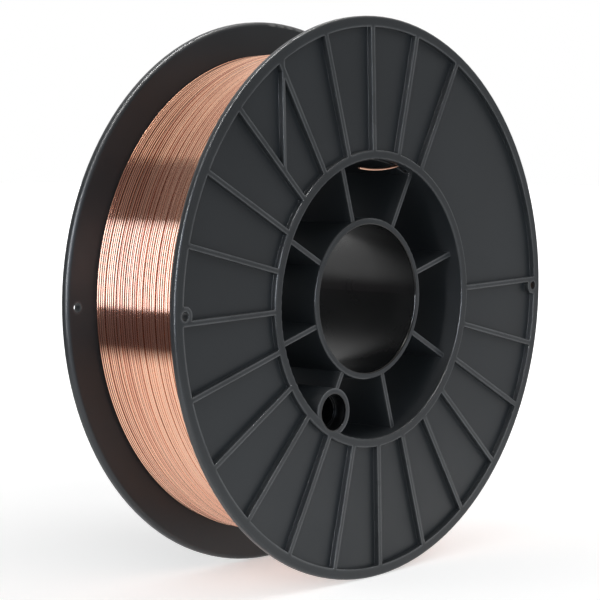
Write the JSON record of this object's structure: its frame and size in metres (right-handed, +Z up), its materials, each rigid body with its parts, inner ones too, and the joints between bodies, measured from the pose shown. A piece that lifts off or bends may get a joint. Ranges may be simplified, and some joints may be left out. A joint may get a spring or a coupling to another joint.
{
  "type": "mig welding wire spool",
  "caption": "Black plastic reel with ribbed flanges and a webbed hub, wound full of copper-coated welding wire.",
  "frame": {"origin": "centre of the bore, midway between the two flanges", "axes": "+Y along the spool's axis towards the far flange, +Z up, the spool standing on its two rims"},
  "size_m": [0.2, 0.055, 0.2],
  "materials": {
    "black_plastic": "black injection-moulded plastic with a low sheen",
    "copper_wire": "thin bright copper coating on drawn steel wire"
  },
  "bodies": {
    "root": {"spool": "black_plastic", "wire": "copper_wire"}
  },
  "joints": []
}
